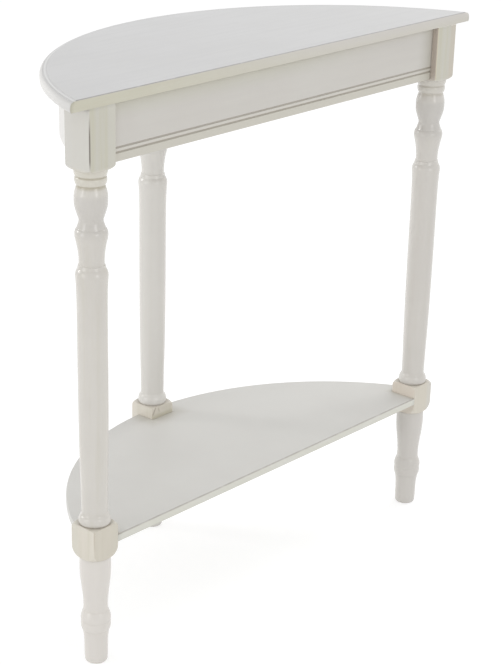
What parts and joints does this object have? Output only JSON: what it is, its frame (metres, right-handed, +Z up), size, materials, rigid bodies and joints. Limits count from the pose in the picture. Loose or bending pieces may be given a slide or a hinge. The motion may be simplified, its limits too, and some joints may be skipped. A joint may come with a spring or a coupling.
{
  "type": "demilune side table",
  "caption": "Half-moon side table in antique white paint: moulded top on a beaded apron frame, turned legs with square shelf blocks and a half-moon lower shelf, made to stand against a wall.",
  "frame": {"origin": "on the floor, at the middle of the table's box", "axes": "+Z up; X along the straight wall side; the wall side faces -Y and the bow faces +Y"},
  "size_m": [0.724, 0.2609, 0.711],
  "materials": {
    "painted_top": "satin antique white paint, faint brushing, worn edges",
    "painted_shelf": "satin antique white paint, cream tint at the edges",
    "painted_apron": "satin antique white paint, dark glaze in the bead grooves",
    "painted_leg": "satin antique white paint, cream glaze in the turned grooves",
    "painted_block": "satin antique white paint, cream wear and fine dark crack lines",
    "bare_wood": "planed and unfinished",
    "plated_steel": "zinc plated"
  },
  "bodies": {
    "root": {"top_panel": "painted_top", "shelf_panel": "painted_shelf", "straight_apron": "painted_apron", "left_curved_apron": "painted_apron", "right_curved_apron": "painted_apron", "left_post": "painted_leg", "right_post": "painted_leg", "bow_post": "painted_leg", "left_shelf_block": "painted_block", "right_shelf_block": "painted_block", "bow_shelf_block": "painted_block", "left_foot": "painted_leg", "right_foot": "painted_leg", "bow_foot": "painted_leg", "left_corner_brace": "bare_wood", "right_corner_brace": "bare_wood", "left_glue_block": "bare_wood", "right_glue_block": "bare_wood", "apron_cleat": "bare_wood", "apron_dowels": "bare_wood", "leg_studs": "plated_steel", "leg_inserts": "plated_steel", "brace_screws": "plated_steel", "top_screws": "plated_steel"}
  },
  "joints": []
}
